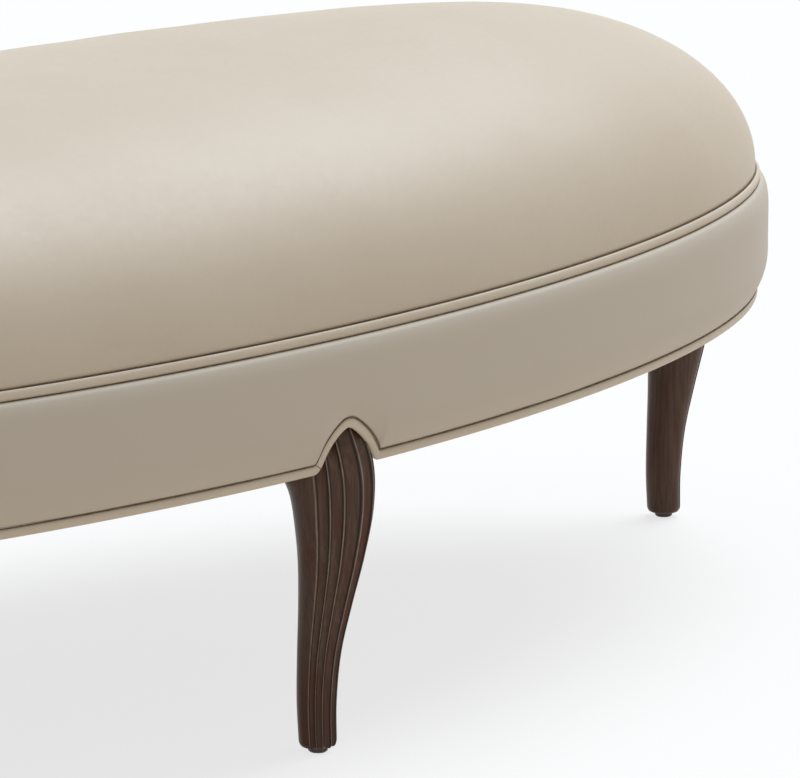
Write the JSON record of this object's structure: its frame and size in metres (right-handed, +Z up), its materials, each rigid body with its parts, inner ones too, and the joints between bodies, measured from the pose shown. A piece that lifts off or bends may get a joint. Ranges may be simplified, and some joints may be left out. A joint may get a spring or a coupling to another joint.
{
  "type": "bed bench",
  "caption": "Oval bed bench with a crowned leather seat, a welted leather band arched over carved fluted legs, and an upholstered wooden frame inside.",
  "frame": {"origin": "floor level under the middle of the oval seat", "axes": "+X along the length of the bench, +Z up"},
  "size_m": [1.5316, 0.6536, 0.485],
  "materials": {
    "leather": "smooth satin pale taupe leather",
    "welt_leather": "smooth satin leather piping",
    "carved_wood": "dark stained, semi-gloss lacquer",
    "frame_wood": "planed beech, unfinished",
    "plywood": "birch plywood, unfinished",
    "foam": "open-cell foam",
    "wadding": "white fibre wadding",
    "cord": "cotton piping cord",
    "dust_cloth": "black non-woven cloth",
    "steel": "zinc-plated steel",
    "glide": "dark brown nylon"
  },
  "bodies": {
    "root": {"band_cover": "leather", "band_padding": "wadding", "base_foam": "foam", "block_screws": "steel", "bolt_nuts": "steel", "bolt_washers": "steel", "cross_rail_screws": "steel", "crown_foam": "foam", "crown_wadding": "wadding", "deck_screws": "steel", "dust_cover": "dust_cloth", "dust_cover_staples": "steel", "front_arch_welt": "welt_leather", "front_glide": "glide", "front_left_rail": "frame_wood", "front_left_welt": "welt_leather", "front_leg": "carved_wood", "front_leg_block": "frame_wood", "front_right_rail": "frame_wood", "front_right_welt": "welt_leather", "hanger_bolts": "steel", "left_arch_welt": "welt_leather", "left_cross_rail": "frame_wood", "left_glide": "glide", "left_leg": "carved_wood", "left_leg_block": "frame_wood", "lower_welt_cords": "cord", "rear_arch_welt": "welt_leather", "rear_glide": "glide", "rear_left_rail": "frame_wood", "rear_left_welt": "welt_leather", "rear_leg": "carved_wood", "rear_leg_block": "frame_wood", "rear_right_rail": "frame_wood", "rear_right_welt": "welt_leather", "right_arch_welt": "welt_leather", "right_cross_rail": "frame_wood", "right_glide": "glide", "right_leg": "carved_wood", "right_leg_block": "frame_wood", "seat_deck": "plywood", "top_cover": "leather", "upper_welt_cord": "cord", "upper_welt_cover": "welt_leather"}
  },
  "joints": []
}
